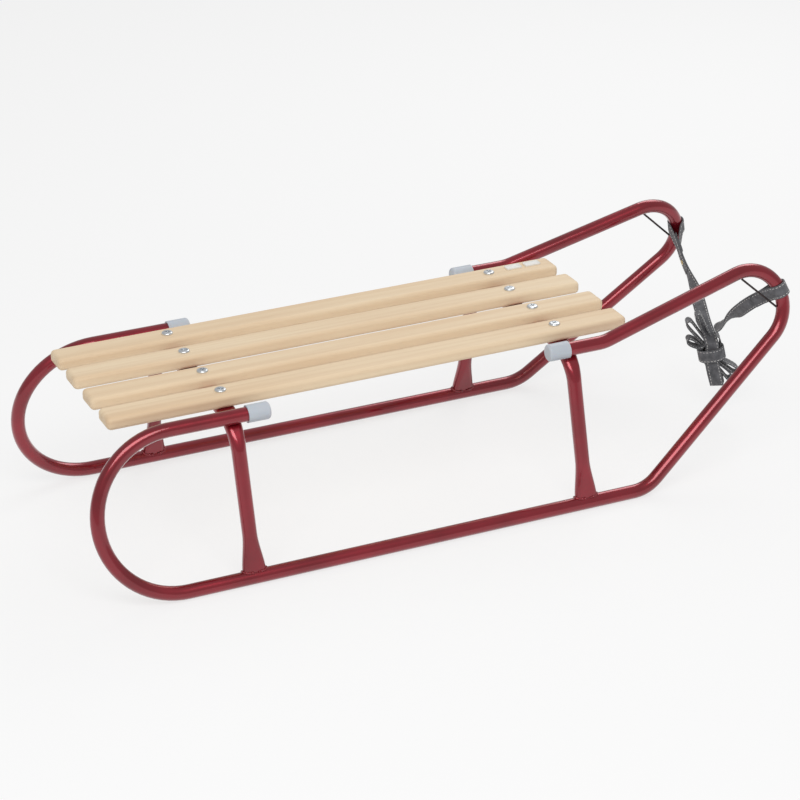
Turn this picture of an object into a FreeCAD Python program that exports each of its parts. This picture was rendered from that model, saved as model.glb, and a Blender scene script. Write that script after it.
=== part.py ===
"""Tube-framed snow sled with a slatted seat and a webbing pull strap.

Millimetres. +X is forward, +Y is the rider's left, +Z is up.
The origin is on the snow, under the middle of the sled.

Each side frame is one bent tube: it starts at the rear end of the seat, turns down
through a half circle, runs along the snow, rises to the nose, doubles back as a
handle and ends at the front of the seat. The two frames lean inwards. Two arches,
bent from tube and pressed flat where the slats lie and where the feet are welded,
join the frames. Four slats are bolted along the seat.
"""
import FreeCAD, Part
import math
import os

# ---- driving sizes ---------------------------------------------------------------
overall_length = 1060.0        # rear bend to nose, outside
runner_spread = 414.0          # between the runner centre lines
tube_diameter = 20.0           # side frames
tube_wall = 1.5
frame_lean = 12.9              # degrees that each side frame leans inwards
upper_run_rise = 221.0         # runner centre to upper run centre, along the lean
rise_angle = 39.1              # of the straight front rise, in the frame's plane
handle_angle = 15.3            # of the straight handle, in the frame's plane
nose_rise = 225.0              # runner centre to the nose bend's centre, along the lean
nose_radius = 57.0             # bend radii are to the tube's centre line
runner_bend_radius = 58.0
handle_bend_radius = 60.0
rear_end_x = -271.0            # where the upper rear run of the tube ends, in its cap
front_end_x = 148.0            # where the handle's tube ends, in its cap

cap_length = 32.0              # plastic end caps
cap_wall = 2.0
cap_nose_thickness = 4.0
cap_edge_radius = 4.0
cap_clearance = 0.1

arch_x = {"rear": -316.0, "front": 181.0}
arch_tube_diameter = 20.0
arch_wall = 1.5
arch_bend_radius = 52.0        # to the centre line, below the seat's corners
bar_width = 28.0               # the arch's top, pressed flat
bar_thickness = 8.0
foot_width = 33.0              # the arch's feet, pressed flat and flared
foot_thickness = 13.0
foot_flare = 62.0              # length of the pressed part of a leg
weld_gap = 0.15                # left between tubes that are welded together

slat_length = 765.0
slat_width = 43.0
slat_thickness = 18.0
slat_edge_radius = 6.0
slat_corner_radius = 7.0
slat_front_x = 284.0
slat_centres = (106.5, 37.0, -37.0, -106.5)   # across the seat, left to right
seat_height = 242.5            # top of the slats

wire_diameter = 3.0            # stays across the nose bends, that keep the strap there
wire_upper_angle = 97.0        # degrees round the nose bend
wire_lower_angle = -4.0

strap_width = 20.0             # webbing
strap_thickness = 1.6
strap_tube_diameter = 6.0      # of the plain solids along the strap's free runs
loop_clearance = 0.2
loop_angle = {"right": 22.0, "left": 13.0}    # degrees round the nose bend
hank_clearance = 0.2

# the strap's free runs, from the loop on each nose bend to the hank between them
strap_route = {
    "right": [(508.9, -144.1, 243.4), (493.0, -126.0, 228.0), (486.0, -102.0, 207.0),
              (487.0, -74.0, 184.0), (491.0, -42.0, 158.0), (490.0, -17.0, 140.0)],
    "left": [(513.0, 144.8, 229.8), (510.0, 124.0, 209.0), (510.0, 99.0, 187.0),
             (508.0, 70.0, 166.0), (500.0, 40.0, 149.0), (492.0, 14.0, 139.0)],
}

# ---- derived sizes ---------------------------------------------------------------
tube_radius = tube_diameter / 2
runner_height = tube_radius
rear_bend_radius = upper_run_rise / 2
rear_bend_x = -overall_length / 2 + tube_radius + rear_bend_radius
nose_x = overall_length / 2 - tube_radius - nose_radius
slat_underside = seat_height - slat_thickness
bar_height = slat_underside - bar_thickness / 2
lean = math.radians(frame_lean)
SIDES = {"left": 1, "right": -1}


def vec(x, y, z):
    return FreeCAD.Vector(x, y, z)


def on_frame(side, x, rise):
    """The point of a leaning side frame's plane at x, and at a rise along the lean."""
    y = runner_spread / 2 - rise * math.sin(lean)
    return vec(x, SIDES[side] * y, runner_height + rise * math.cos(lean))


def frame_normal(side):
    return vec(0, SIDES[side] * math.cos(lean), math.sin(lean))


def unit(angle):
    a = math.radians(angle)
    return math.cos(a), math.sin(a)


# ---- paths -----------------------------------------------------------------------
def fillet_wire(points, radii):
    """Straight runs between points, joined by tangent arcs of the given radii."""
    edges = []
    start = points[0]
    for before, corner, after, radius in zip(points, points[1:], points[2:], radii):
        towards, away = (before - corner).normalize(), (after - corner).normalize()
        half = towards.getAngle(away) / 2
        reach = radius / math.tan(half)
        arc_start, arc_end = corner + towards * reach, corner + away * reach
        middle = corner + (towards + away).normalize() * (radius / math.sin(half) - radius)
        if start.distanceToPoint(arc_start) > 1e-4:
            edges.append(Part.LineSegment(start, arc_start).toShape())
        edges.append(Part.Arc(arc_start, middle, arc_end).toShape())
        start = arc_end
    edges.append(Part.LineSegment(start, points[-1]).toShape())
    return Part.Wire(edges)


def sweep_circle(path, diameter):
    first = path.Edges[0]
    start = first.valueAt(first.FirstParameter)
    ring = Part.makeCircle(diameter / 2, start, first.tangentAt(first.FirstParameter))
    return path.makePipeShell([Part.Wire([ring])], True, False)


def nose_point(angle, radius=nose_radius):
    """Position in a side frame's plane, round the nose bend."""
    c, s = unit(angle)
    return nose_x + radius * c, nose_rise + radius * s


def side_frame_path(side):
    """Centre line of one side frame, from its upper rear end round to its front end."""
    rise_touch = nose_point(rise_angle - 90)
    handle_touch = nose_point(handle_angle + 90)
    runner_corner_x = rise_touch[0] - rise_touch[1] / math.tan(math.radians(rise_angle))
    handle_drop = handle_touch[1] - upper_run_rise
    handle_corner_x = handle_touch[0] - handle_drop / math.tan(math.radians(handle_angle))

    def at(x, rise):
        return on_frame(side, x, rise)

    rear_arc = Part.Arc(at(rear_bend_x, upper_run_rise),
                        at(rear_bend_x - rear_bend_radius, rear_bend_radius),
                        at(rear_bend_x, 0)).toShape()
    upper_rear = Part.LineSegment(at(rear_end_x, upper_run_rise),
                                  at(rear_bend_x, upper_run_rise)).toShape()
    runner = fillet_wire([at(rear_bend_x, 0), at(runner_corner_x, 0), at(*rise_touch)],
                         [runner_bend_radius])
    nose_arc = Part.Arc(at(*rise_touch), at(*nose_point(handle_angle)),
                        at(*handle_touch)).toShape()
    handle = fillet_wire([at(*handle_touch), at(handle_corner_x, upper_run_rise),
                          at(front_end_x, upper_run_rise)], [handle_bend_radius])
    return Part.Wire([upper_rear, rear_arc] + runner.Edges + [nose_arc] + handle.Edges)


def build_side_frame(side):
    path = side_frame_path(side)
    outer = sweep_circle(path, tube_diameter)
    inner = sweep_circle(path, tube_diameter - 2 * tube_wall)
    return outer.cut(inner)


# ---- end caps --------------------------------------------------------------------
def build_cap(side, end_x, outwards):
    """A cap pushed over a tube's end; outwards is +1 where the end faces forward."""
    bore = tube_diameter / 2 + cap_clearance
    radius = bore + cap_wall
    mouth = on_frame(side, end_x - outwards * (cap_length - cap_nose_thickness),
                     upper_run_rise)
    axis = vec(outwards, 0, 0)
    body = Part.makeCylinder(radius, cap_length, mouth, axis)
    far_rim = [e for e in body.Edges if e.Closed
               and abs((e.CenterOfMass - mouth).dot(axis) - cap_length) < 1e-3]
    body = body.makeFillet(cap_edge_radius, far_rim)
    socket_depth = cap_length - cap_nose_thickness + cap_clearance
    return body.cut(Part.makeCylinder(bore, socket_depth, mouth, axis))


# ---- arches ----------------------------------------------------------------------
def pressed_section(centre, normal, width, thickness, round_share):
    """Section of a pressed tube: width along X, thickness square to X and the path."""
    across = vec(1, 0, 0)
    up = normal.cross(across).normalize()
    r = min(width, thickness) / 2 * round_share
    w, t = width / 2, thickness / 2

    def at(a, b):
        return centre + across * a + up * b

    c = r * (1 - math.sqrt(0.5))
    return Part.Wire([
        Part.LineSegment(at(-w + r, -t), at(w - r, -t)).toShape(),
        Part.Arc(at(w - r, -t), at(w - c, -t + c), at(w, -t + r)).toShape(),
        Part.LineSegment(at(w, -t + r), at(w, t - r)).toShape(),
        Part.Arc(at(w, t - r), at(w - c, t - c), at(w - r, t)).toShape(),
        Part.LineSegment(at(w - r, t), at(-w + r, t)).toShape(),
        Part.Arc(at(-w + r, t), at(-w + c, t - c), at(-w, t - r)).toShape(),
        Part.LineSegment(at(-w, t - r), at(-w, -t + r)).toShape(),
        Part.Arc(at(-w, -t + r), at(-w + c, -t + c), at(-w + r, -t)).toShape()])


def arch_stations(inset):
    """(y, z, direction, width, thickness) down one half of the arch's centre line.

    The leg's line lies in the side frame's plane, and aims at the runner's centre."""
    corner_y = runner_spread / 2 - (bar_height - runner_height) * math.tan(lean)
    turn = math.pi / 2 - lean
    reach = arch_bend_radius * math.tan(turn / 2)
    bend_y = corner_y - reach
    bend_z = bar_height - arch_bend_radius
    flat = (bar_width - 2 * inset, bar_thickness - 2 * inset)
    tube = (arch_tube_diameter - 2 * inset, arch_tube_diameter - 2 * inset)
    foot = (foot_width - 2 * inset, foot_thickness - 2 * inset)

    stations = [(0.0, bar_height, 0.0) + flat, (bend_y, bar_height, 0.0) + flat]
    for share in (0.25, 0.5, 0.75, 1.0):
        a = turn * share
        size = [f + (t - f) * share for f, t in zip(flat, tube)]
        stations.append((bend_y + arch_bend_radius * math.sin(a),
                         bend_z + arch_bend_radius * math.cos(a), a) + tuple(size))
    down_y, down_z = math.sin(lean), -math.cos(lean)
    top_y, top_z = stations[-1][0], stations[-1][1]
    leg = (top_z - runner_height) / math.cos(lean)
    for distance, share in ((leg - foot_flare, 0.0), (leg - foot_flare * 0.62, 0.35),
                            (leg - foot_flare * 0.3, 0.85), (leg, 1.0)):
        size = [t + (f - t) * share for f, t in zip(foot, tube)]
        stations.append((top_y + down_y * distance, top_z + down_z * distance, turn)
                        + tuple(size))
    return stations


def arch_solid(x, inset):
    def wire(side_sign, station):
        y, z, turn, width, thickness = station
        direction = vec(0, side_sign * math.cos(turn), -math.sin(turn))
        return pressed_section(vec(x, side_sign * y, z), direction, width, thickness, 0.94)

    stations = arch_stations(inset)
    solids = []
    for sign in (1, -1):
        wires = [wire(sign, s) for s in stations]
        for group in (wires[0:2], wires[1:6], wires[5:7], wires[6:]):
            ruled = len(group) == 2
            solids.append(Part.makeLoft(group, True, ruled))
    return solids[0].multiFuse(solids[1:]).removeSplitter()


def build_arch(x):
    """One arch, notched round the tubes that it is welded to and clear of the caps."""
    arch = arch_solid(x, 0).cut(arch_solid(x, arch_wall))
    reach = foot_width * 1.5
    cap_radius = tube_radius + cap_clearance + cap_wall
    for side in SIDES:
        for rise in (0, upper_run_rise):
            arch = arch.cut(Part.makeCylinder(tube_radius + weld_gap, 2 * reach,
                                              on_frame(side, x - reach, rise), vec(1, 0, 0)))
        cap_mouth = front_end_x + cap_length - cap_nose_thickness + weld_gap
        arch = arch.cut(Part.makeCylinder(cap_radius + weld_gap, 2 * reach,
                                          on_frame(side, cap_mouth - 2 * reach, upper_run_rise),
                                          vec(1, 0, 0)))
    above_bar = Part.makeBox(4 * bar_width, runner_spread, bar_thickness,
                             vec(x - 2 * bar_width, -runner_spread / 2, slat_underside))
    arch = arch.cut(above_bar)
    return sorted(arch.Solids, key=lambda solid: solid.Volume)[-1]


# ---- seat ------------------------------------------------------------------------
def build_slat(centre_y):
    slat = Part.makeBox(slat_length, slat_width, slat_thickness,
                        vec(slat_front_x - slat_length, centre_y - slat_width / 2,
                            slat_underside))
    upright = [e for e in slat.Edges
               if abs(e.tangentAt(e.FirstParameter).z) > 0.99]
    slat = slat.makeFillet(slat_corner_radius, upright)
    level = [e for e in slat.Edges
             if abs(e.valueAt(e.FirstParameter).z - e.valueAt(e.LastParameter).z) < 1e-3]
    return slat.makeFillet(slat_edge_radius, level)


# ---- strap and its stays ---------------------------------------------------------
def build_wire(side):
    """A stay across the inside of the nose bend, welded to it at both ends."""
    reach = nose_radius - tube_radius - weld_gap - wire_diameter / 4
    upper = on_frame(side, *nose_point(wire_upper_angle, reach))
    lower = on_frame(side, *nose_point(wire_lower_angle, reach))
    stay = Part.makeCylinder(wire_diameter / 2, (upper - lower).Length, lower, upper - lower)
    centre = on_frame(side, nose_x, nose_rise)
    keep = Part.makeCylinder(nose_radius - tube_radius - weld_gap, wire_diameter * 2,
                             centre - frame_normal(side) * wire_diameter,
                             frame_normal(side))
    return stay.common(keep)


def build_strap_loop(side):
    """The strap's end, wrapped round the nose bend."""
    inner = tube_radius + loop_clearance
    centre = on_frame(side, *nose_point(loop_angle[side]))
    ahead = on_frame(side, *nose_point(loop_angle[side] + 90)) - on_frame(side, nose_x,
                                                                          nose_rise)
    ahead.normalize()
    start = centre - ahead * (strap_width / 2)
    ring = Part.makeCylinder(inner + strap_thickness, strap_width, start, ahead)
    path = Part.Arc(on_frame(side, *nose_point(loop_angle[side] - 30)), centre,
                    on_frame(side, *nose_point(loop_angle[side] + 30))).toShape()
    return ring.cut(sweep_circle(Part.Wire([path]), 2 * inner))


def strap_run_path(side):
    points = [vec(*p) for p in strap_route[side]]
    radii = []
    for before, corner, after in zip(points, points[1:], points[2:]):
        turn = math.pi - (before - corner).getAngle(after - corner)
        shorter = min(before.distanceToPoint(corner), after.distanceToPoint(corner))
        radii.append(0.45 * shorter / math.tan(turn / 2))
    return fillet_wire(points, radii), radii


def build_strap_run(side):
    path, radii = strap_run_path(side)
    run = sweep_circle(path, strap_tube_diameter)
    expected = math.pi * strap_tube_diameter ** 2 / 4 * path.Length
    print(side, "strap run: length", round(path.Length, 1), "radii",
          [round(r) for r in radii], "volume over section x length",
          round(run.Volume / expected, 4))
    return run


def build_strap_hank():
    """Outer shape of the folded strap: a bundle, narrow where it is tied."""
    sections = (((474.0, 0.0, 151.0), 44.0, 34.0), ((482.0, 0.0, 128.0), 40.0, 34.0),
                ((492.0, 0.0, 99.0), 33.0, 28.0), ((500.0, 0.0, 74.0), 38.0, 34.0),
                ((504.0, 0.0, 50.0), 38.0, 34.0))
    wires = []
    for centre, width, depth in sections:
        ring = Part.Ellipse(vec(*centre), width / 2, depth / 2).toShape()
        wires.append(Part.Wire([ring]))
    hank = Part.makeLoft(wires, True, False)
    for side in SIDES:
        path, _ = strap_run_path(side)
        hank = hank.cut(sweep_circle(path, strap_tube_diameter + 2 * hank_clearance))
    return sorted(hank.Solids, key=lambda solid: solid.Volume)[-1]


# ---- assembly --------------------------------------------------------------------
def build_parts():
    parts = {}
    for side in SIDES:
        parts[side + "_side_frame"] = build_side_frame(side)
        parts[side + "_rear_cap"] = build_cap(side, rear_end_x, 1)
        parts[side + "_front_cap"] = build_cap(side, front_end_x, -1)
        parts[side + "_strap_stay"] = build_wire(side)
        parts[side + "_strap_loop"] = build_strap_loop(side)
        parts[side + "_strap_run"] = build_strap_run(side)
    for name, x in arch_x.items():
        parts[name + "_arch"] = build_arch(x)
    for number, centre_y in enumerate(slat_centres, 1):
        parts["seat_slat_%d" % number] = build_slat(centre_y)
    parts["strap_hank"] = build_strap_hank()
    return parts


os.makedirs("parts", exist_ok=True)
for name, shape in build_parts().items():
    box = shape.BoundBox
    print("%-18s solids %d valid %s volume %9.0f  x %.1f..%.1f y %.1f..%.1f z %.1f..%.1f"
          % (name, len(shape.Solids), shape.isValid(), shape.Volume, box.XMin, box.XMax,
             box.YMin, box.YMax, box.ZMin, box.ZMax))
    shape.exportStep(os.path.join("parts", name + ".step"))
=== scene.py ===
# %% [markdown]
# # A tube-framed sled with a slatted seat
#
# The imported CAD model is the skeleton: tubes, arches, slats and end caps have their
# real shape and size there, and here they only get their finish. What CAD leaves plain
# is made here: the webbing strap, its eyelets, the bolts, the weld beads and two stickers.
# Everything is in metres, with +X forward, +Y to the rider's left and +Z up.

# %% Load the frame
import bpy
import math
from mathutils import Matrix, Quaternion, Vector


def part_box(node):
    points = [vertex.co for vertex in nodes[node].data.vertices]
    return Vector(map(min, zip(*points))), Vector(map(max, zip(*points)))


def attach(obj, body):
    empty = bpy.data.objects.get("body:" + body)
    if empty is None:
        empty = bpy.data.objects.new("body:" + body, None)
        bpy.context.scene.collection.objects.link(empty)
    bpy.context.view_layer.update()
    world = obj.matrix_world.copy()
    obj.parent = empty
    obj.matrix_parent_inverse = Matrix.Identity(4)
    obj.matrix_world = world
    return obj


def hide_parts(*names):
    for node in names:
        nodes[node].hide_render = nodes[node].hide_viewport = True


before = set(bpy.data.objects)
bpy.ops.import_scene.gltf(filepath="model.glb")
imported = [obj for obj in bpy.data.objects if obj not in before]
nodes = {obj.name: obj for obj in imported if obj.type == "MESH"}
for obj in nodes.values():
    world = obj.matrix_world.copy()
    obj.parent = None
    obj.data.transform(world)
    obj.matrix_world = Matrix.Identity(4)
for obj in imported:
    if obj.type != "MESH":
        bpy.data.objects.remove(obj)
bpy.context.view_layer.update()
MM = 0.001
SIDES = {"right": -1, "left": 1}

# %% [markdown]
# ## Camera
#
# A long lens from behind and above the sled's right side shows the seat, the near side
# frame and the strap. The camera looks at one point of the sled and leans a little; a
# look-at constraint would do the same, but a rotation worked out once is plainer.

# %% Camera
camera_place = Vector((-1.3988, -3.2418, 1.7472))
camera_target = Vector((-0.0297, -0.0446, 0.1438))
camera_lean = math.radians(-1.38)
camera = bpy.data.objects.new("camera", bpy.data.cameras.new("camera"))
bpy.context.scene.collection.objects.link(camera)
camera.data.sensor_width = 36.0
camera.data.lens = 122.87
camera.location = camera_place
camera.rotation_mode = "QUATERNION"
aim = (camera_target - camera_place).to_track_quat("-Z", "Y")
camera.rotation_quaternion = aim @ Quaternion((0, 0, 1), camera_lean)
bpy.context.scene.camera = camera
print("camera", round((camera_target - camera_place).length, 2), "m from its target")

# %% [markdown]
# ## Shader maths
#
# Node trees are easier to read as formulas. Signal wraps one socket, and each operator
# adds one Math node. Finish holds a material, makes any other node with one method, and
# puts the results on the Principled shader. Colours go through Mix nodes instead,
# because a Math node would turn them grey.


# %% Signals and finishes
class Signal:
    """A shader socket that can be used in formulas."""

    def __init__(self, finish, socket):
        self.finish, self.socket = finish, socket

    def maths(self, operation, *values):
        made = self.finish.tree.nodes.new("ShaderNodeMath")
        made.operation = operation
        for slot, value in zip(made.inputs, values):
            self.finish.feed(slot, value)
        return Signal(self.finish, made.outputs[0])

    def __add__(self, other):
        return self.maths("ADD", self, other)

    def __sub__(self, other):
        return self.maths("SUBTRACT", self, other)

    def __rsub__(self, other):
        return self.maths("SUBTRACT", other, self)

    def __mul__(self, other):
        return self.maths("MULTIPLY", self, other)

    def sine(self):
        return self.maths("SINE", self)

    __radd__, __rmul__ = __add__, __mul__


class Finish:
    """A material in the making."""

    def __init__(self, name, **constants):
        self.material = bpy.data.materials.new(name)
        self.material.use_nodes = True
        self.tree = self.material.node_tree
        self.shader = self.tree.nodes["Principled BSDF"]
        for key, value in constants.items():
            self.shader.inputs[key.replace("_", " ")].default_value = value

    def feed(self, slot, value):
        if isinstance(value, Signal):
            self.tree.links.new(value.socket, slot)
        else:
            slot.default_value = value

    def node(self, kind, settings, values, output=0):
        made = self.tree.nodes.new("ShaderNode" + kind)
        for key, value in settings.items():
            setattr(made, key, value)
        for key, value in values.items():
            self.feed(made.inputs[key], value)
        return Signal(self, made.outputs[output])

    def place(self, scale):
        where = self.node("TexCoord", {}, {}, "Object")
        return self.node("Mapping", {}, {"Vector": where, "Scale": scale})

    def noise(self, scale, detail=3.0, rough=0.5):
        return self.node("TexNoise", {}, {"Vector": self.place(scale), "Scale": 1.0,
                                          "Detail": detail, "Roughness": rough})

    def mix(self, share, first, second):
        return self.node("Mix", {"data_type": "RGBA"}, {0: share, 6: first, 7: second}, 2)

    def ramp(self, value, low, high):
        return self.node("MapRange", {"clamp": True},
                         {"Value": value, "From Min": low, "From Max": high})

    def bump(self, height, strength, distance):
        return self.node("Bump", {}, {"Height": height, "Strength": strength,
                                      "Distance": distance})

    def done(self, **links):
        for key, value in links.items():
            self.feed(self.shader.inputs[key.replace("_", " ")], value)
        return self.material


def paint(node, material):
    mesh = nodes[node].data
    mesh.materials.clear()
    mesh.materials.append(material)


# %% [markdown]
# ## Webbing
#
# The pull strap is a flat woven band, 20 mm wide, with a pale running stitch along both
# edges. Its own UV map is in millimetres, u across and v along the band, so the weave
# stays square to the edges wherever the band twists. The stitches are real thread, so
# they are pieces of their own, and the weave is fine enough for bump.

# %% Webbing and thread
STRAP_WIDTH = 20 * MM
STRAP_THICK = 1.6 * MM


def webbing_finish():
    f = Finish("grey_webbing", Specular_IOR_Level=0.25, Sheen_Weight=0.25,
               Sheen_Roughness=0.5)
    uv = f.node("UVMap", {"uv_map": "band"}, {})
    u = f.node("SeparateXYZ", {}, {"Vector": uv}, "X")
    v = f.node("SeparateXYZ", {}, {"Vector": uv}, "Y")
    warp = (u * (2 * math.pi / 1.1)).sine()
    weft = (v * (2 * math.pi / 0.9) + (u * (math.pi / 1.1)).sine() * 1.2).sine()
    weave = warp * 0.5 + weft * 0.5
    cloud = f.noise((120, 120, 120), 4.0)
    tone = f.ramp(weave * 0.25 + cloud, 0.2, 0.85)
    colour = f.mix(tone, (0.065, 0.066, 0.072, 1), (0.185, 0.187, 0.200, 1))
    return f.done(Base_Color=colour, Roughness=0.8 + weave * 0.06,
                  Normal=f.bump(weave, 0.5, 0.25 * MM))


def thread_finish():
    f = Finish("pale_thread", Roughness=0.7)
    tone = f.ramp(f.noise((900, 900, 900), 2.0), 0.3, 0.7)
    return f.done(Base_Color=f.mix(tone, (0.62, 0.61, 0.58, 1), (0.86, 0.85, 0.82, 1)))


webbing, thread = webbing_finish(), thread_finish()

# %% [markdown]
# A band is a line and, at each point of the line, the direction of its width. Both come
# from NURBS splines with the same number of control points, so they stay in step, and
# the band twists smoothly between the directions that are given.


# %% Bands that follow a line
def smooth_line(controls, steps=10):
    """The points of a NURBS line with these control points."""
    curve = bpy.data.curves.new("line", "CURVE")
    curve.dimensions = "3D"
    curve.resolution_u = steps
    spline = curve.splines.new("NURBS")
    spline.points.add(len(controls) - 1)
    for point, control in zip(spline.points, controls):
        point.co = (*control, 1)
    spline.order_u = 3
    spline.use_endpoint_u = True
    holder = bpy.data.objects.new("line", curve)
    mesh = bpy.data.meshes.new_from_object(holder)
    line = [v.co.copy() for v in mesh.vertices]
    bpy.data.objects.remove(holder)
    bpy.data.curves.remove(curve)
    bpy.data.meshes.remove(mesh)
    return line


def band_frames(line, across):
    """Position, direction, width direction, face normal and run length at each point."""
    frames, run = [], 0.0
    for i, place in enumerate(line):
        ahead = (line[min(i + 1, len(line) - 1)] - line[max(i - 1, 0)]).normalized()
        side = (across[i] - ahead * across[i].dot(ahead)).normalized()
        if i:
            run += (place - line[i - 1]).length
        frames.append((place, ahead, side, ahead.cross(side), run))
    return frames


def new_piece(name, vertices, faces, material):
    mesh = bpy.data.meshes.new(name)
    mesh.from_pydata([tuple(v) for v in vertices], [], faces)
    mesh.materials.append(material)
    made = bpy.data.objects.new(name, mesh)
    bpy.context.scene.collection.objects.link(made)
    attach(made, "root")
    return made


def band(name, frames):
    """A closed flat band with rounded edges, and its UV map in millimetres."""
    w, t, r = STRAP_WIDTH / 2, STRAP_THICK / 2, 0.5 * MM
    crown = t * 1.08
    outline = [(-w, -t + r), (-w + r, -t), (-w / 3, -crown), (w / 3, -crown),
               (w - r, -t), (w, -t + r), (w, t - r), (w - r, t), (w / 3, crown),
               (-w / 3, crown), (-w + r, t), (-w, t - r)]
    n = len(outline)
    vertices, faces, coords = [], [], []
    for place, ahead, side, face, run in frames:
        vertices += [place + side * a + face * b for a, b in outline]
    for i in range(len(frames) - 1):
        for k in range(n):
            m = (k + 1) % n
            faces.append((i * n + k, i * n + m, (i + 1) * n + m, (i + 1) * n + k))
            lengths = (frames[i][4], frames[i][4], frames[i + 1][4], frames[i + 1][4])
            spots = (outline[k][0], outline[m][0], outline[m][0], outline[k][0])
            coords += [(a / MM, b / MM) for a, b in zip(spots, lengths)]
    last = (len(frames) - 1) * n
    faces += [tuple(reversed(range(n))), tuple(range(last, last + n))]
    coords += [(0.0, 0.0)] * (2 * n)
    made = new_piece(name, vertices, faces, webbing)
    layer = made.data.uv_layers.new(name="band")
    for spot, coord in zip(layer.data, coords):
        spot.uv = coord
    tidy_faces(made)
    return made


def select_only(made):
    bpy.ops.object.select_all(action="DESELECT")
    made.select_set(True)
    bpy.context.view_layer.objects.active = made


def tidy_faces(made, angle=35):
    """Point the faces outwards and smooth all but the sharp edges."""
    select_only(made)
    bpy.ops.object.mode_set(mode="EDIT")
    bpy.ops.mesh.select_all(action="SELECT")
    bpy.ops.mesh.normals_make_consistent(inside=False)
    bpy.ops.object.mode_set(mode="OBJECT")
    bpy.ops.object.shade_smooth_by_angle(angle=math.radians(angle))


def running_stitch(name, frames):
    """Short threads along both edges of a band, on its faces."""
    inset, long, pitch = 2.6 * MM, 3.2 * MM, 5.0 * MM
    wide, high, sunk = 0.45 * MM, 0.45 * MM, 0.1 * MM
    arc = ((-0.5, -0.2), (-0.32, 0.75), (0.0, 1.0), (0.32, 0.75), (0.5, -0.2))
    vertices, faces = [], []
    base = STRAP_THICK / 2
    total = frames[-1][4]
    at = pitch / 2
    index = 0
    while at < total - pitch / 2:
        while frames[index + 1][4] < at:
            index += 1
        place, ahead, side, face, run = frames[index]
        share = (at - run) / max(frames[index + 1][4] - run, 1e-9)
        middle = place.lerp(frames[index + 1][0], share)
        for edge in (-1, 1):
            for top in (1, -1):
                seat = middle + side * edge * (STRAP_WIDTH / 2 - inset) + face * top * base
                start = len(vertices)
                for step, lift in arc:
                    spot = seat + ahead * step * long
                    vertices += [spot - side * wide - face * top * sunk,
                                 spot + face * top * high * lift,
                                 spot + side * wide - face * top * sunk]
                for k in range(4):
                    a = start + 3 * k
                    faces += [(a, a + 1, a + 4, a + 3), (a + 1, a + 2, a + 5, a + 4),
                              (a + 2, a, a + 3, a + 5)]
                faces += [(start, start + 2, start + 1),
                          (start + 12, start + 13, start + 14)]
        at += pitch
    made = new_piece(name, vertices, faces, thread)
    tidy_faces(made, 60)
    return made


# %% [markdown]
# ## The strap's route
#
# The strap leaves a loop on each nose bend, hangs towards the middle, and its spare
# length is folded to and fro into a hank. The free runs are listed points, the
# same as in the CAD source. The front fold is listed too. The others are worked out
# by a loop: each leg passes through the tie, and pairs of legs join in a rounded fold,
# three above the tie and three below. They show their edges, because the band is turned
# a quarter there.

# %% Route of the strap
RIGHT_RUN = [(508.9, -144.1, 243.4), (493.0, -126.0, 228.0), (486.0, -102.0, 207.0),
             (487.0, -74.0, 184.0), (491.0, -42.0, 158.0), (490.0, -17.0, 140.0)]
LEFT_RUN = [(513.0, 144.8, 229.8), (510.0, 124.0, 209.0), (510.0, 99.0, 187.0),
            (508.0, 70.0, 166.0), (500.0, 40.0, 149.0), (492.0, 14.0, 139.0)]
nose_radius, tube_radius, frame_lean = 57.0, 10.0, math.radians(12.9)
loop_angle = {"right": 22.0, "left": 13.0}
tie = Vector((492.6, -6.0, 98.0)) * MM
sideways = Vector((0.915, -0.403, 0.0)).normalized()
towards = Vector((-0.403, -0.915, 0.0)).normalized()
upwards = Vector((0.0, 0.0, 1.0))


def hank_point(right, up, near):
    """A point of the hank, in millimetres from the tie."""
    return tie + (sideways * right + upwards * up + towards * near) * MM


def fold(tip, gap, near_in, near_out):
    """Control points round one folded end; the fold opens from the first side."""
    leg, past = 14.0, -2.0
    out = Vector(tip).normalized()
    turn = Vector((-out.y, out.x)) * gap / 2
    spots = []
    for side, back, near in ((1, leg, near_in), (1, past, near_in), (-1, past, near_out),
                             (-1, leg, near_out)):
        flat = Vector(tip) - out * back + turn * side
        spots.append(hank_point(flat.x, flat.y, near))
    return spots


front_edge, middle_depth, slot_pitch, fold_gap = 10.5, -4.0, 5.4, 9.0
route, across = [], []


def lay(points, width_direction):
    route.extend(points)
    across.extend([width_direction] * len(points))


def through_tie(right, near, downwards):
    spots = [hank_point(right, up, near) for up in (11.0, 0.0, -11.0)]
    return spots if downwards else spots[::-1]


def tube_tangent(side):
    """Direction of a side tube's centre line where the strap goes round it."""
    angle = math.radians(loop_angle[side])
    c, s = math.cos(angle), math.sin(angle)
    return Vector((-s, -SIDES[side] * c * math.sin(frame_lean), c * math.cos(frame_lean)))


left_metres = [Vector(p) * MM for p in LEFT_RUN]
right_metres = [Vector(p) * MM for p in RIGHT_RUN]
lay(left_metres[:3], tube_tangent("left"))
lay(left_metres[3:4], (tube_tangent("left") + sideways).normalized())
lay(left_metres[4:], sideways)
lay([hank_point(-1.0, 24.0, front_edge + 2)], sideways)
lay(through_tie(1.0, front_edge + 1.0, True), sideways)
lay([hank_point(5.0, -30.0, front_edge + 3), hank_point(9.0, -49.0, front_edge + 2),
     hank_point(9.0, -49.0, front_edge - 5), hank_point(4.0, -30.0, front_edge - 3)],
    sideways)
lay(through_tie(0.0, front_edge - 3.5, False), sideways)
lay([hank_point(-9.0, 16.0, 4.0)], (sideways + towards).normalized())
top_tips = ((-34.0, 21.0), (-35.0, 50.0), (-21.0, 61.0))
bottom_tips = ((16.0, -47.0), (29.0, -41.0), (39.0, -31.0))
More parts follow.
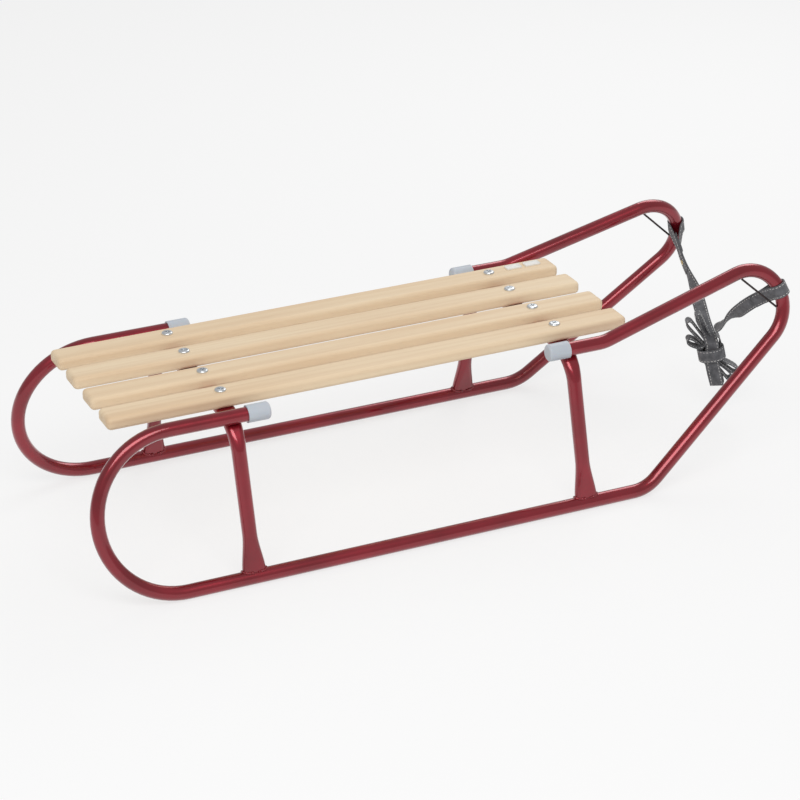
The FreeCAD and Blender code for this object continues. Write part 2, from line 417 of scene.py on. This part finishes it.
for number, (top, bottom) in enumerate(zip(top_tips, bottom_tips)):
    slot_right = (2 * number - 2.5) * slot_pitch
    lay(fold(top, fold_gap, middle_depth + 2, middle_depth), towards)
    lay(through_tie(slot_right, middle_depth, True), towards)
    lay(fold(bottom, -fold_gap, middle_depth, middle_depth), towards)
    lay(through_tie(slot_right + slot_pitch, middle_depth, False), towards)
lay([hank_point(13.0, 24.0, -3.0)], towards)
lay(right_metres[:3:-1], towards)
lay(right_metres[3:2:-1], (towards + tube_tangent("right")).normalized())
lay(right_metres[2::-1], tube_tangent("right"))

strap_line, strap_across = smooth_line(route), smooth_line(across)
strap_frames = band_frames(strap_line, strap_across)

# %% [markdown]
# The whole strap is one band along that line. It stands in for the CAD model's two plain
# runs and its plain hank.

# %% Strap and its stitches
strap = band("pull_strap", strap_frames)
strap_stitches = running_stitch("pull_strap_stitches", strap_frames)
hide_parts("left_strap_run", "right_strap_run", "strap_hank")

# %% [markdown]
# ## Loops round the nose bends
#
# Each end of the strap is taken round the tube, laid back on the strap and held by an
# eyelet. The loop is one more band: it starts on the strap, goes round the tube and
# comes back along the strap's other face. It copies the strap's own first stretch, so
# the layers lie face to face. The eyelet's ring lies on the outer layer.

# %% Loops and eyelets
runner_y, nose_front = 414.0 / 2, 530.0
nose_x, nose_rise = nose_front - tube_radius - nose_radius, 225.0


def nose_centre(side):
    """The point of the side tube's centre line where the strap goes round it."""
    angle = math.radians(loop_angle[side])
    x = nose_x + nose_radius * math.cos(angle)
    rise = nose_rise + nose_radius * math.sin(angle)
    y = runner_y - rise * math.sin(frame_lean)
    return Vector((x, SIDES[side] * y, tube_radius + rise * math.cos(frame_lean))) * MM


def stretch(frames, start, stop, step, offset):
    """Points along a band from one run length to another, off its face."""
    spots, at = [], start
    while (at - stop) * (1 if stop > start else -1) <= 1e-9:
        nearest = min(frames, key=lambda f: abs(f[4] - at))
        spots.append(nearest[0] + nearest[3] * offset)
        at += step if stop > start else -step
    return spots


def strap_end(side, frames):
    """The loop of one strap end, its stitches and its eyelet."""
    layer, step_along = 1.9 * MM, 7.5 * MM
    long_tab, joint, short_tab = 62 * MM, 17 * MM, 34 * MM
    opening, turn_step, turns = 48, 33, 9
    centre, tangent = nose_centre(side), tube_tangent(side)
    inward = frames[0][0] - centre
    inward = (inward - tangent * inward.dot(tangent)).normalized()
    sign = 1 if frames[0][3].dot(tangent.cross(inward)) > 0 else -1
    round_tube = []
    for step in range(turns):
        a = math.radians(opening + step * turn_step)
        spoke = inward * math.cos(a) + tangent.cross(inward) * math.sin(a)
        round_tube.append(centre + spoke * (tube_radius + 1.6) * MM / 0.96)
    if sign < 0:
        round_tube.reverse()
    laid_back = stretch(frames, long_tab, joint, step_along, layer)
    beneath = stretch(frames, joint, short_tab, step_along, -layer)
    controls = laid_back + round_tube + beneath
    loop_line = smooth_line(controls, 8)
    loop_frames = band_frames(loop_line, [tangent] * len(loop_line))
    loop = band(side + "_strap_end", loop_frames)
    stitches = running_stitch(side + "_strap_end_stitches", loop_frames)
    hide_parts(side + "_strap_loop")
    return loop, stitches, eyelet(side, frames)


def eyelet(side, frames):
    """A rolled brass ring on the outer layer of the tab."""
    from_tube = 46 * MM
    spot = min(frames, key=lambda f: abs(f[4] - from_tube))
    bpy.ops.object.select_all(action="DESELECT")
    bpy.ops.mesh.primitive_torus_add(major_segments=32, minor_segments=12,
                                     major_radius=2.9 * MM, minor_radius=1.0 * MM)
    ring = bpy.context.object
    ring.name = side + "_eyelet"
    bpy.ops.object.mode_set(mode="EDIT")
    bpy.ops.mesh.select_all(action="SELECT")
    bpy.ops.transform.resize(value=(1, 1, 0.8))
    bpy.ops.mesh.select_all(action="DESELECT")
    bpy.ops.object.mode_set(mode="OBJECT")
    turn = Vector((0, 0, 1)).rotation_difference(spot[3])
    place = spot[0] + spot[3] * 3.2 * MM
    ring.data.transform(Matrix.Translation(place) @ turn.to_matrix().to_4x4())
    bpy.ops.object.shade_smooth()
    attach(ring, "root")
    return ring


right_frames = band_frames(strap_line[::-1], strap_across[::-1])
left_end = strap_end("left", strap_frames)
right_end = strap_end("right", right_frames)
print("strap ends", left_end[0].name, right_end[0].name)

# %% [markdown]
# The hank is held by a little more than one turn of the same webbing. It has the outline
# of the bundle, and it lies slightly aslant, so that its ends pass each other.

# %% Tie round the hank
half_wide, half_deep, slant, creep = 19.5, 16.0, 0.16, 0.12
wrap_controls = []
for step in range(17):
    a = math.radians(step * 24 - 12)
    right, near = half_wide * math.cos(a), half_deep * math.sin(a) + 0.5
    wrap_controls.append(hank_point(right, right * slant + step * creep,
                                    near + step * creep))
wrap_line = smooth_line(wrap_controls, 8)
wrap_frames = band_frames(wrap_line, [upwards - sideways * 0.2] * len(wrap_line))
strap_wrap = band("strap_tie", wrap_frames)
wrap_stitches = running_stitch("strap_tie_stitches", wrap_frames)

tuple(strap_line[0])
[tuple(p) for p in strap_line]

# %% [markdown]
# ## Lacquer, wood, plastic and wire
#
# The tubes have a deep red clear lacquer over bright metal: a metallic base under a
# glossy coat. The slats are pale wood with long grain, worked out from Object
# coordinates stretched along X, so that the grain runs the whole length of a slat.


# %% Finishes of the CAD pieces
def lacquer_finish():
    f = Finish("red_lacquer", Coat_Weight=1.0, Coat_Roughness=0.04, Coat_IOR=1.5,
               Metallic=0.65)
    cloud = f.noise((14, 14, 14), 3.0)
    colour = f.mix(f.ramp(cloud, 0.3, 0.7), (0.20, 0.002, 0.010, 1), (0.30, 0.004, 0.018, 1))
    peel = f.noise((420, 420, 420), 2.0)
    return f.done(Base_Color=colour, Roughness=0.26 + cloud * 0.08,
                  Normal=f.bump(peel, 0.06, 0.2 * MM))


def wood_finish():
    f = Finish("pale_wood", Specular_IOR_Level=0.4)
    broad = f.noise((2.2, 26, 26), 3.0)
    growth = f.noise((1.1, 95, 95), 4.0, 0.6)
    fibre = f.noise((9.0, 900, 900), 3.0, 0.6)
    pores = f.ramp(f.noise((55, 1500, 1500), 2.0), 0.62, 0.75)
    pale = f.mix(f.ramp(broad, 0.3, 0.7), (0.86, 0.70, 0.49, 1), (0.76, 0.56, 0.36, 1))
    grained = f.mix(f.ramp(growth, 0.45, 0.75) * 0.55, pale, (0.66, 0.44, 0.25, 1))
    fine = f.mix(fibre * 0.22, grained, (0.90, 0.77, 0.58, 1))
    colour = f.mix(pores * 0.28, fine, (0.50, 0.31, 0.17, 1))
    height = fibre * 0.5 + growth * 0.3 - pores * 0.4
    return f.done(Base_Color=colour, Roughness=0.48 + fibre * 0.12,
                  Normal=f.bump(height, 0.25, 0.3 * MM))


def plastic_finish():
    f = Finish("grey_plastic", Specular_IOR_Level=0.45, Subsurface_Weight=0.05)
    grain = f.noise((1500, 1500, 1500), 2.0)
    haze = f.noise((40, 40, 40), 2.0)
    colour = f.mix(haze, (0.49, 0.52, 0.57, 1), (0.56, 0.59, 0.64, 1))
    return f.done(Base_Color=colour, Roughness=0.38 + haze * 0.1,
                  Normal=f.bump(grain, 0.12, 0.1 * MM))


def wire_finish():
    f = Finish("dark_wire", Metallic=0.6, Coat_Weight=0.3)
    cloud = f.noise((300, 300, 300), 2.0)
    colour = f.mix(cloud, (0.012, 0.008, 0.008, 1), (0.05, 0.03, 0.03, 1))
    return f.done(Base_Color=colour, Roughness=0.35 + cloud * 0.1)


def zinc_finish():
    f = Finish("bright_zinc", Metallic=1.0)
    cloud = f.noise((260, 260, 260), 3.0)
    colour = f.mix(cloud, (0.62, 0.65, 0.68, 1), (0.80, 0.82, 0.84, 1))
    return f.done(Base_Color=colour, Roughness=0.24 + cloud * 0.14,
                  Normal=f.bump(cloud, 0.08, 0.2 * MM))


def brass_finish():
    f = Finish("brass", Metallic=1.0)
    cloud = f.noise((400, 400, 400), 2.0)
    colour = f.mix(cloud, (0.62, 0.46, 0.20, 1), (0.80, 0.66, 0.38, 1))
    return f.done(Base_Color=colour, Roughness=0.2 + cloud * 0.12)


def sticker_finish():
    f = Finish("blank_sticker", Specular_IOR_Level=0.3)
    cloud = f.noise((180, 180, 180), 2.0)
    return f.done(Base_Color=f.mix(cloud, (0.80, 0.79, 0.76, 1), (0.86, 0.85, 0.82, 1)),
                  Roughness=0.5 + cloud * 0.1)


lacquer, wood, plastic = lacquer_finish(), wood_finish(), plastic_finish()
wire, zinc, brass, sticker = wire_finish(), zinc_finish(), brass_finish(), sticker_finish()
for side in SIDES:
    paint(side + "_side_frame", lacquer)
    paint(side + "_rear_cap", plastic)
    paint(side + "_front_cap", plastic)
    paint(side + "_strap_stay", wire)
for arch in ("rear_arch", "front_arch"):
    paint(arch, lacquer)
for number in range(1, 5):
    paint("seat_slat_%d" % number, wood)
for end in (left_end, right_end):
    end[2].data.materials.clear()
    end[2].data.materials.append(brass)

# %% [markdown]
# ## Bolts
#
# Each slat is held to both arches by a zinc bolt. Its low domed head has a cross recess,
# and a washer, a nut and the thread's end show under the arch's pressed top. One bolt is
# modelled from cylinders shaped in edit mode, then copied with its own mesh.


# %% One bolt, then eight
def bevelled_cylinder(radius, depth, place, edge, segments, sides=48):
    bpy.ops.object.select_all(action="DESELECT")
    bpy.ops.mesh.primitive_cylinder_add(vertices=sides, radius=radius, depth=depth,
                                        location=place)
    made = bpy.context.object
    bpy.ops.object.mode_set(mode="EDIT")
    bpy.ops.mesh.select_all(action="DESELECT")
    bpy.ops.object.mode_set(mode="OBJECT")
    for e in made.data.edges:
        a, b = (made.data.vertices[i].co for i in e.vertices)
        e.select = a.z > 0 and b.z > 0
    bpy.ops.object.mode_set(mode="EDIT")
    bpy.ops.mesh.select_mode(type="EDGE")
    bpy.ops.mesh.bevel(offset=edge, segments=segments, affect="EDGES")
    bpy.ops.mesh.select_mode(type="VERT")
    bpy.ops.object.mode_set(mode="OBJECT")
    bpy.ops.object.transform_apply(location=True, rotation=True, scale=True)
    return made


def cut_with(made, cutter):
    """Take one solid out of another, and throw the cutter away."""
    select_only(made)
    cut = made.modifiers.new("cut", "BOOLEAN")
    cut.operation, cut.solver, cut.object = "DIFFERENCE", "EXACT", cutter
    bpy.ops.object.modifier_apply(modifier=cut.name)
    bpy.data.objects.remove(cutter)


def cross_recess(top):
    for turn in (0, math.pi / 2):
        bpy.ops.object.select_all(action="DESELECT")
        bpy.ops.mesh.primitive_cube_add(size=1, location=(0, 0, top), rotation=(0, 0, turn))
        cutter = bpy.context.object
        cutter.scale = (8.6 * MM, 1.7 * MM, 3.2 * MM)
        bpy.ops.object.transform_apply(location=True, rotation=True, scale=True)
        yield cutter


def one_bolt(head_seat, under_seat):
    """A bolt on the Z axis, from its head on the slat to its nut under the arch."""
    head = bevelled_cylinder(8.0 * MM, 3.0 * MM, (0, 0, head_seat + 1.5 * MM), 2.3 * MM, 6)
    for cutter in cross_recess(head_seat + 3.0 * MM):
        cut_with(head, cutter)
    washer = bevelled_cylinder(7.5 * MM, 1.4 * MM, (0, 0, under_seat - 0.7 * MM), 0.3 * MM, 2)
    nut = bevelled_cylinder(5.8 * MM, 5.0 * MM, (0, 0, under_seat - 3.9 * MM), 0.5 * MM, 2, 6)
    shank = bevelled_cylinder(3.0 * MM, 12.0 * MM, (0, 0, under_seat - 4.0 * MM), 0.5 * MM, 2,
                              24)
    select_only(head)
    for extra in (washer, nut, shank):
        extra.select_set(True)
    bpy.ops.object.join()
    tidy_faces(head, 30)
    head.data.materials.clear()
    head.data.materials.append(zinc)
    return head


slat_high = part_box("seat_slat_1")[1]
bar_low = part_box("rear_arch")[1].z - 8 * MM
model_bolt = one_bolt(slat_high.z, bar_low)
bolt_mesh = model_bolt.data
bpy.data.objects.remove(model_bolt)
arch_x = {"rear": -316.0, "front": 181.0}
for arch, x in arch_x.items():
    for number in range(1, 5):
        low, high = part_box("seat_slat_%d" % number)
        mesh = bolt_mesh.copy()
        spin = Quaternion((0, 0, 1), 0.55 * number + (0.3 if arch == "rear" else 0.0))
        mesh.transform(spin.to_matrix().to_4x4())
        mesh.transform(Matrix.Translation((x * MM, (low.y + high.y) / 2, 0)))
        bolt = bpy.data.objects.new("%s_bolt_%d" % (arch, number), mesh)
        bpy.context.scene.collection.objects.link(bolt)
        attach(bolt, "root")
print("faces in a bolt", len(bolt_mesh.polygons))

# %% [markdown]
# ## Weld beads
#
# A weld bead is a row of overlapping drops, frozen one after another. That is how it is
# made here: small spheres along the seam, joined and remeshed into one skin, which
# leaves the ripples. Under the lacquer it has the same red.


# %% Beads round the feet and on the arches' shoulders
def bead(name, spots, radius, voxel=0.55 * MM):
    """One weld bead through these points."""
    bpy.ops.object.select_all(action="DESELECT")
    drops = []
    for i, spot in enumerate(spots):
        size = radius * (1.0 + 0.14 * math.sin(2.4 * i) + 0.06 * math.sin(5.1 * i))
        bpy.ops.mesh.primitive_ico_sphere_add(subdivisions=2, radius=size, location=spot)
        drops.append(bpy.context.object)
    bpy.ops.object.select_all(action="DESELECT")
    for drop in drops:
        drop.select_set(True)
    bpy.context.view_layer.objects.active = drops[0]
    bpy.ops.object.join()
    made = bpy.context.object
    made.name = name
    bpy.ops.object.transform_apply(location=True, rotation=True, scale=True)
    skin = made.modifiers.new("skin", "REMESH")
    skin.mode, skin.voxel_size = "VOXEL", voxel
    bpy.ops.object.modifier_apply(modifier=skin.name)
    soft = made.modifiers.new("soft", "SMOOTH")
    soft.factor, soft.iterations = 0.5, 2
    bpy.ops.object.modifier_apply(modifier=soft.name)
    bpy.ops.object.shade_smooth()
    made.data.materials.clear()
    made.data.materials.append(lacquer)
    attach(made, "root")
    return made


def frame_axes(side):
    up = Vector((0, -SIDES[side] * math.sin(frame_lean), math.cos(frame_lean)))
    out = Vector((0, SIDES[side] * math.cos(frame_lean), math.sin(frame_lean)))
    return up, out


upper_rise = 221.0
foot_long, foot_wide, foot_drops = 17.0, 7.2, 30
seam_drops, seam_pitch, seam_below = 9, 2.4, 9.6 * math.cos(0.75)
for side in SIDES:
    up, out = frame_axes(side)
    runner = Vector((0, SIDES[side] * runner_y * MM, tube_radius * MM))
    upper = runner + up * upper_rise * MM
    for arch, x in arch_x.items():
        foot_spots = []
        for step in range(foot_drops):
            a = 2 * math.pi * step / foot_drops
            dx = math.copysign(abs(math.cos(a)) ** 0.6, math.cos(a)) * foot_long
            dy = math.copysign(abs(math.sin(a)) ** 0.8, math.sin(a)) * foot_wide
            rise = math.sqrt((tube_radius + 0.4) ** 2 - dy ** 2)
            foot_spots.append(runner + (Vector((x + dx, 0, 0)) + out * dy + up * rise) * MM)
        bead("%s_%s_foot_weld" % (side, arch), foot_spots, 1.9 * MM)
        for number, aside in enumerate((-8.8, 0.1), 1):
            spots = []
            for step in range(seam_drops):
                dx = (step - seam_drops // 2) * seam_pitch
                spots.append(upper + (Vector((x + dx, 0, 0)) - up * seam_below
                                      + out * aside) * MM)
            bead("%s_%s_shoulder_weld_%d" % (side, arch, number), spots, 1.7 * MM)

# %% [markdown]
# ## Blank stickers
#
# Two small stickers lie on the left slat near its front end. They are thin plates with
# rounded corners, and they carry nothing.

# %% Stickers
plate_size = Vector((24, 14, 0.12)) * MM
edge_inset = 18 * MM
slat_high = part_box("seat_slat_1")[1]
for number, back in enumerate((20 * MM, 50 * MM), 1):
    place = slat_high + Vector((-back - plate_size.x / 2, -edge_inset, plate_size.z / 2))
    bpy.ops.object.select_all(action="DESELECT")
    bpy.ops.mesh.primitive_cube_add(size=1, location=place)
    plate = bpy.context.object
    plate.name = "blank_sticker_%d" % number
    plate.scale = plate_size
    bpy.ops.object.transform_apply(location=True, rotation=True, scale=True)
    for e in plate.data.edges:
        a, b = (plate.data.vertices[i].co for i in e.vertices)
        e.select = abs(a.z - b.z) > 0.05 * MM
    bpy.ops.object.mode_set(mode="EDIT")
    bpy.ops.mesh.select_mode(type="EDGE")
    bpy.ops.mesh.bevel(offset=2.0 * MM, segments=5, affect="EDGES")
    bpy.ops.mesh.select_mode(type="VERT")
    bpy.ops.object.mode_set(mode="OBJECT")
    plate.data.materials.append(sticker)
    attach(plate, "root")

# %% [markdown]
# ## Floor and light
#
# The floor is white and keeps the sled's soft shadow. Seen directly or in a reflection
# it is partly its own light, so that it reads as a white sweep. One large soft lamp
# above the camera's side gives the long highlights along the tubes, and a weaker one
# from the other side keeps the shadows open.


# %% Stage
def floor_finish():
    f = Finish("floor")
    path = f.tree.nodes.new("ShaderNodeLightPath")
    seen = Signal(f, path.outputs["Is Camera Ray"]) + Signal(f, path.outputs["Is Glossy Ray"])
    glow = f.node("Emission", {}, {"Color": (1, 1, 1, 1), "Strength": 1.0})
    matt = f.node("BsdfDiffuse", {}, {"Color": (0.86, 0.86, 0.86, 1)})
    own_light = 0.72
    mixed = f.node("MixShader", {}, {0: seen * own_light, 1: matt, 2: glow})
    f.tree.links.new(mixed.socket, f.tree.nodes["Material Output"].inputs["Surface"])
    return f.material


bpy.ops.object.select_all(action="DESELECT")
bpy.ops.mesh.primitive_plane_add(size=30, location=(0, 0, -0.2 * MM))
floor = bpy.context.object
floor.name = "floor"
floor.data.materials.append(floor_finish())

world = bpy.data.worlds.new("studio")
bpy.context.scene.world = world
world.use_nodes = True
sky = world.node_tree.nodes["Background"]
sky.inputs["Color"].default_value = (1, 1, 1, 1)
rays = world.node_tree.nodes.new("ShaderNodeLightPath")
share = world.node_tree.nodes.new("ShaderNodeMapRange")
share.inputs["To Min"].default_value = 0.5
world.node_tree.links.new(rays.outputs["Is Camera Ray"], share.inputs["Value"])
world.node_tree.links.new(share.outputs[0], sky.inputs["Strength"])


def soft_lamp(name, place, target, size, power):
    lamp = bpy.data.objects.new(name, bpy.data.lights.new(name, "AREA"))
    bpy.context.scene.collection.objects.link(lamp)
    lamp.data.shape, lamp.data.size, lamp.data.size_y = "RECTANGLE", size[0], size[1]
    lamp.data.energy = power
    lamp.location = place
    aim = Vector(target) - Vector(place)
    lamp.rotation_euler = aim.to_track_quat("-Z", "Y").to_euler()


soft_lamp("key", (-0.9, -1.9, 2.5), (0, 0, 0.15), (2.6, 1.4), 46)
soft_lamp("fill", (1.6, 1.4, 1.9), (0, 0, 0.15), (1.6, 1.2), 16)
bpy.context.scene.view_settings.view_transform = "Standard"
